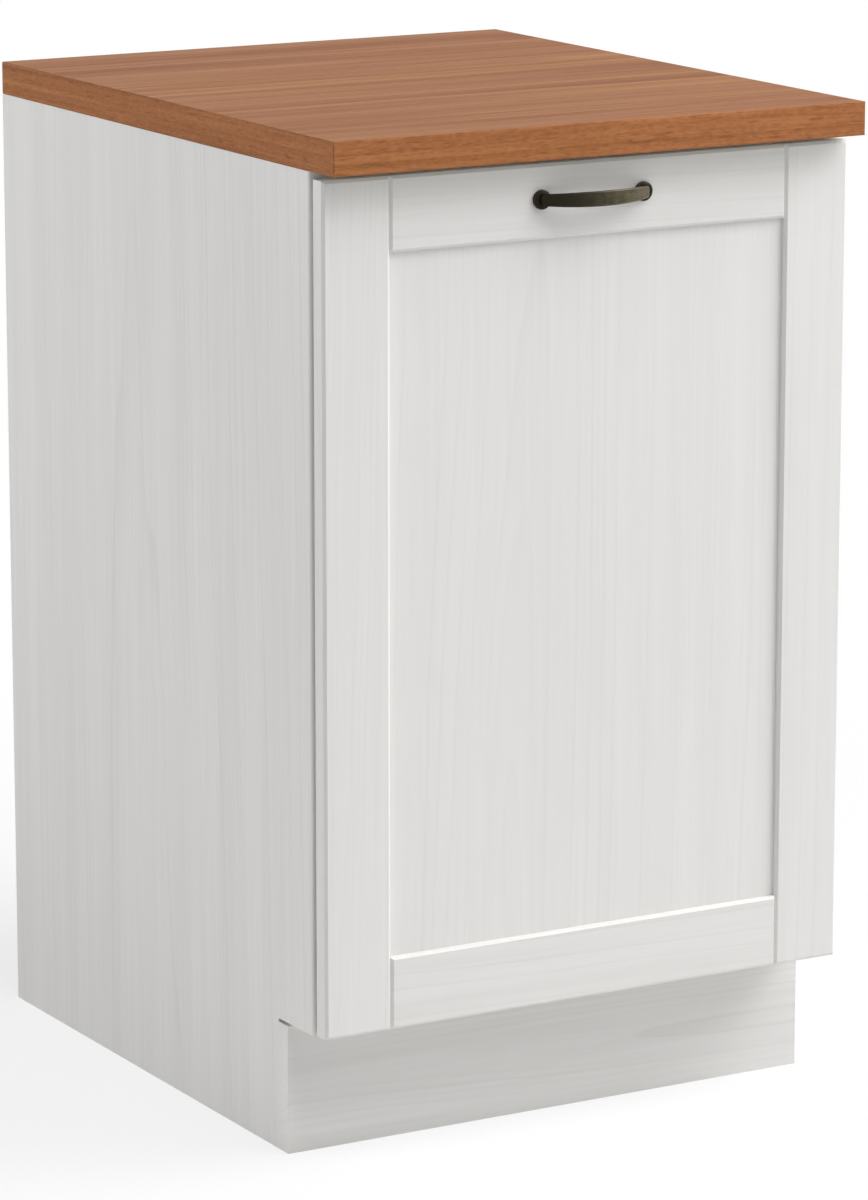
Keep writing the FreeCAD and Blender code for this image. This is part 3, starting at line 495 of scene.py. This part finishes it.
def laminate(name, turn, light, dark, fineness, top, boards):
    """Wood-grain laminate, from banded to fibrous by its fineness, with a paper back and a raw rear edge."""
    material, tree, shader, coordinates = new_material(name, LAMINATE_ROUGHNESS, gloss=LAMINATE_GLOSS)
    grain = place_group(tree, "Wood grain", wood_grain_group,
                        {"Vector": turned(tree, coordinates, turn), **LAMINATE_GRAIN})
    coarse = 1.0 - fineness
    fine = fineness / 2
    mixed = weighted_sum(tree, grain, {"Band": coarse, "Mottle": fine, "Fibre": fine})
    mixed = math_node(tree, "MULTIPLY_ADD", grain["Ring"], -LAMINATE_RINGS, mixed, clamp=True)
    colour = blend_colours(tree, mixed, dark, light)
    pale = math_node(tree, "MULTIPLY", grain["Streak"], LAMINATE_STREAKS * coarse)
    colour = blend_colours(tree, pale, colour, top.streak)
    pores = math_node(tree, "MULTIPLY", grain["Pore"], fine)
    colour = blend_colours(tree, pores, colour, top.pore)
    colour = blend_colours(tree, facing(tree, coordinates, "Z", -1.0), colour, top.backing)
    raw = raw_board(tree, coordinates, boards)
    colour = blend_colours(tree, facing(tree, coordinates, "Y"), colour, raw)
    feed(tree, colour, shader.inputs["Base Color"])
    relief(tree, shader, grain["Pore"], -top.pore_relief)
    return material


def plated(name, colour, roughness):
    """Plated or bare metal with faint tarnish."""
    material, tree, shader, coordinates = new_material(name, roughness, metallic=1.0)
    tarnish = tarnish_on(tree, coordinates)
    duller = [value * METAL_PATCH_TONE for value in colour]
    feed(tree, blend_colours(tree, tarnish["Patch"], colour, duller), shader.inputs["Base Color"])
    rubbed = [roughness + change for change in RUBBED_ROUGHNESS]
    feed(tree, spread(tree, tarnish["Rub"], *rubbed), shader.inputs["Roughness"])
    return material


def aged_bronze(name, node, light_ramp, dark, pale_bronze, bright):
    """Dark bronze, paler in tarnish patches; painted light makes it paler towards the right end of its node,
    with bright edges there that are partly rubbing and partly a painted highlight.
    """
    material, tree, shader, coordinates = new_material(name, BRONZE_ROUGHNESS[0], BRONZE_METALLIC,
                                                       BRONZE_GLOSS)
    low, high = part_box(node)
    lit_ends = [low.x + share * (high.x - low.x) for share in light_ramp]
    # Painted light: the bronze turns paler towards the right end of its node, where the lamps on the right
    # light it; the tarnish patches show only as far as this painted light reaches
    painted_light = ramp(tree, axes(tree, coordinates["Object"])["X"], *lit_ends)
    patchy = weighted_sum(tree, tarnish_on(tree, coordinates), BRONZE_SHARES)
    rubbed = math_node(tree, "ADD", patchy, BRONZE_EVEN_PALENESS)
    rubbed = math_node(tree, "MULTIPLY", rubbed, painted_light, clamp=True)
    colour = blend_colours(tree, rubbed, dark, pale_bronze)
    edge = place_group(tree, "Edge wear", edge_group, {"Radius": BRONZE_EDGE})["Edge"]
    # Bright edges, partly rubbing and partly a painted highlight, only towards the painted lit right end
    edge_highlight = math_node(tree, "MULTIPLY", edge, painted_light)
    feed(tree, blend_colours(tree, edge_highlight, colour, bright), shader.inputs["Base Color"])
    feed(tree, spread(tree, rubbed, *BRONZE_ROUGHNESS), shader.inputs["Roughness"])
    return material


def small_piece(name, colour, roughness):
    """Wood or plastic of a small piece, with a faint change of tone."""
    material, tree, shader, coordinates = new_material(name, roughness)
    paler = [min(1.0, value * SMALL_PATCH_TONE) for value in colour]
    shade = blend_colours(tree, tarnish_on(tree, coordinates)["Patch"], colour, paler)
    feed(tree, shade, shader.inputs["Base Color"])
    return material


def finish_nodes(names, material):
    """Give a material to every face of the named nodes."""
    for name in names:
        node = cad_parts[name]
        node.data.materials.clear()
        node.data.materials.append(material)


class CABINET_OT_boards(bpy.types.Operator):
    """Finish the white boards of the carcass and the door"""
    bl_idname = "cabinet.boards"
    bl_label = "White boards"

    def execute(self, context):
        boards = context.scene.cabinet_boards
        for name, turn, heart, strength, raw_back, nodes in WHITE_BOARDS:
            finish_nodes(nodes, white_foil(name, turn, heart, strength, raw_back, boards))
        finish_nodes(("back_panel",), thin_back(boards))
        return {"FINISHED"}


class CABINET_OT_worktop(bpy.types.Operator):
    """Finish the worktop and its edging strips"""
    bl_idname = "cabinet.worktop"
    bl_label = "Worktop"

    def execute(self, context):
        boards = context.scene.cabinet_boards
        top = context.scene.cabinet_worktop
        board = laminate("Worktop laminate", ALONG_X, top.light, top.dark, BOARD_FINENESS, top, boards)
        front = laminate("Worktop front edging", ALONG_X, top.edge_light, top.edge_dark, EDGING_FINENESS,
                         top, boards)
        sides = laminate("Worktop side edging", ALONG_Y, top.edge_light, top.edge_dark, EDGING_FINENESS,
                         top, boards)
        finish_nodes(("worktop_board",), board)
        finish_nodes(("worktop_front_edging",), front)
        finish_nodes(("worktop_left_edging", "worktop_right_edging"), sides)
        return {"FINISHED"}


class CABINET_OT_pull(bpy.types.Operator):
    """Finish the bowed pull and its rosettes"""
    bl_idname = "cabinet.pull"
    bl_label = "Pull"

    def execute(self, context):
        hardware = context.scene.cabinet_hardware
        bow = aged_bronze("Aged bronze bow", "pull_bow", BOW_PAINTED_LIGHT,
                          hardware.bronze, hardware.bronze_pale, hardware.bronze_edge_highlight)
        rosettes = aged_bronze("Aged bronze rosettes", "pull_rosettes", ROSETTE_PAINTED_LIGHT,
                               hardware.bronze_deep, hardware.bronze, hardware.bronze_pale)
        finish_nodes(("pull_bow",), bow)
        finish_nodes(("pull_rosettes",), rosettes)
        return {"FINISHED"}


class CABINET_OT_hinges(bpy.types.Operator):
    """Finish the concealed hinges"""
    bl_idname = "cabinet.hinges"
    bl_label = "Hinges"

    def execute(self, context):
        nickel = plated("Nickel plate", context.scene.cabinet_hardware.nickel, NICKEL_ROUGHNESS)
        pressings = [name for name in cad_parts
                     if name.startswith(HINGE_PRESSINGS) and name not in SCREWS_AND_PINS]
        finish_nodes(pressings, nickel)
        return {"FINISHED"}


class CABINET_OT_fasteners(bpy.types.Operator):
    """Finish screws, pins, cam locks, dowels, plinth blocks and door pads"""
    bl_idname = "cabinet.fasteners"
    bl_label = "Fasteners"

    def execute(self, context):
        hardware = context.scene.cabinet_hardware
        finish_nodes(SCREWS_AND_PINS, plated("Zinc plate", hardware.zinc, ZINC_ROUGHNESS))
        finish_nodes(("cam_locks",), plated("Cast zinc", hardware.casting, CASTING_ROUGHNESS))
        finish_nodes(("dowels",), small_piece("Beech", hardware.dowel, DOWEL_ROUGHNESS))
        finish_nodes(("plinth_blocks",), small_piece("White plastic", hardware.block, BLOCK_ROUGHNESS))
        finish_nodes(("door_bumpers",), small_piece("Soft pad", hardware.pad, PAD_ROUGHNESS))
        return {"FINISHED"}


def seen_directly(tree):
    """1 on rays that come from the camera or by way of gloss or glass, else 0."""
    path = add(tree, "ShaderNodeLightPath").outputs
    seen = math_node(tree, "MAXIMUM", path["Is Camera Ray"], path["Is Glossy Ray"])
    return math_node(tree, "MAXIMUM", seen, path["Is Transmission Ray"])


def blend_shaders(tree, share, first, second, output):
    """Mix two shaders by a share and put the result out."""
    mixed = add(tree, "ShaderNodeMixShader")
    for socket, value in zip(mixed.inputs, (share, first.outputs[0], second.outputs[0])):
        feed(tree, value, socket)
    feed(tree, mixed.outputs[0], tree.nodes[output].inputs["Surface"])


def pale_floor(stage):
    """Floor that keeps a faint shadow beside the cabinet and turns white away from it."""
    bpy.ops.mesh.primitive_plane_add(size=FLOOR_WIDTH, location=(0.0, 0.0, 0.0))
    floor = bpy.context.object
    floor.name = "studio_floor"
    material, tree, shader, coordinates = new_material("Pale floor", roughness=1.0, gloss=0.0)
    seen = seen_directly(tree)
    feed(tree, blend_colours(tree, seen, stage.bounce, stage.floor), shader.inputs["Base Color"])
    white = add(tree, "ShaderNodeEmission", Strength=1.0)
    distance = vector_node(tree, "LENGTH", coordinates["Object"]).outputs["Value"]
    whiteness = map_range(tree, distance, FLOOR_WHITE, "SMOOTHSTEP")
    share = math_node(tree, "MULTIPLY", seen, whiteness)
    blend_shaders(tree, share, shader, white, "Material Output")
    floor.data.materials.append(material)


def white_room(stage):
    """Even light from all round, white where it is looked at."""
    world = bpy.data.worlds.new("Studio")
    world.use_nodes = True
    tree = world.node_tree
    white = (1.0, 1.0, 1.0, 1.0)
    lit = tree.nodes["Background"]
    lit.inputs["Color"].default_value = white
    lit.inputs["Strength"].default_value = stage.sky
    looked_at = add(tree, "ShaderNodeBackground", Color=white, Strength=1.0)
    blend_shaders(tree, seen_directly(tree), lit, looked_at, "World Output")
    bpy.context.scene.world = world


def stand(name, data, aim, turn, rise, distance):
    """A lamp or camera that looks at a point, turned to the right of the front, raised, and at a distance."""
    way = Vector((math.sin(turn) * math.cos(rise), -math.cos(turn) * math.cos(rise), math.sin(rise)))
    item = bpy.data.objects.new(name, data)
    item.location = Vector(aim) + distance * way
    item.rotation_euler = (-way).to_track_quat("-Z", "Y").to_euler()
    bpy.context.collection.objects.link(item)
    return item


class CABINET_OT_stage(bpy.types.Operator):
    """Lay the floor, hang the lamps and stand the camera"""
    bl_idname = "cabinet.stage"
    bl_label = "Stage"

    def execute(self, context):
        stage = context.scene.cabinet_stage
        pale_floor(stage)
        white_room(stage)
        for name, turn, rise, distance, width, power in LAMPS:
            light = bpy.data.lights.new(name, "AREA")
            light.energy = getattr(stage, power)
            light.shape = "SQUARE"
            light.size = width
            stand(name, light, LAMP_AIM, math.radians(turn), math.radians(rise), distance)
        camera = bpy.data.cameras.new("studio_camera")
        camera.lens = stage.lens
        viewer = stand("studio_camera", camera, stage.aim, stage.turn, stage.rise, stage.distance)
        context.scene.camera = viewer
        context.scene.view_settings.view_transform = "Standard"
        return {"FINISHED"}


OPERATORS = (CABINET_OT_boards, CABINET_OT_worktop, CABINET_OT_pull, CABINET_OT_hinges, CABINET_OT_fasteners,
             CABINET_OT_stage)
SETTINGS = (("cabinet_boards", CabinetBoards), ("cabinet_worktop", CabinetWorktop),
            ("cabinet_hardware", CabinetHardware), ("cabinet_stage", CabinetStage))


class CABINET_PT_panel(bpy.types.Panel):
    """Lists the cabinet's settings and the operators that apply them"""
    bl_label = "Kitchen base cabinet"
    bl_idname = "CABINET_PT_panel"
    bl_space_type = "VIEW_3D"
    bl_region_type = "UI"
    bl_category = "Cabinet"

    def draw(self, context):
        for name, group in SETTINGS:
            box = self.layout.box()
            values = getattr(context.scene, name)
            for key in group.__annotations__:
                box.prop(values, key)
        for operator in OPERATORS:
            self.layout.operator(operator.bl_idname)


def register():
    for name, group in SETTINGS:
        bpy.utils.register_class(group)
        setattr(bpy.types.Scene, name, bpy.props.PointerProperty(type=group))
    for operator in OPERATORS:
        bpy.utils.register_class(operator)
    bpy.utils.register_class(CABINET_PT_panel)


def unregister():
    bpy.utils.unregister_class(CABINET_PT_panel)
    for operator in reversed(OPERATORS):
        bpy.utils.unregister_class(operator)
    for name, group in reversed(SETTINGS):
        delattr(bpy.types.Scene, name)
        bpy.utils.unregister_class(group)


def main():
    register()
    bpy.ops.cabinet.boards()
    bpy.ops.cabinet.worktop()
    bpy.ops.cabinet.pull()
    bpy.ops.cabinet.hinges()
    bpy.ops.cabinet.fasteners()
    bpy.ops.cabinet.stage()


if __name__ == "__main__":
    main()
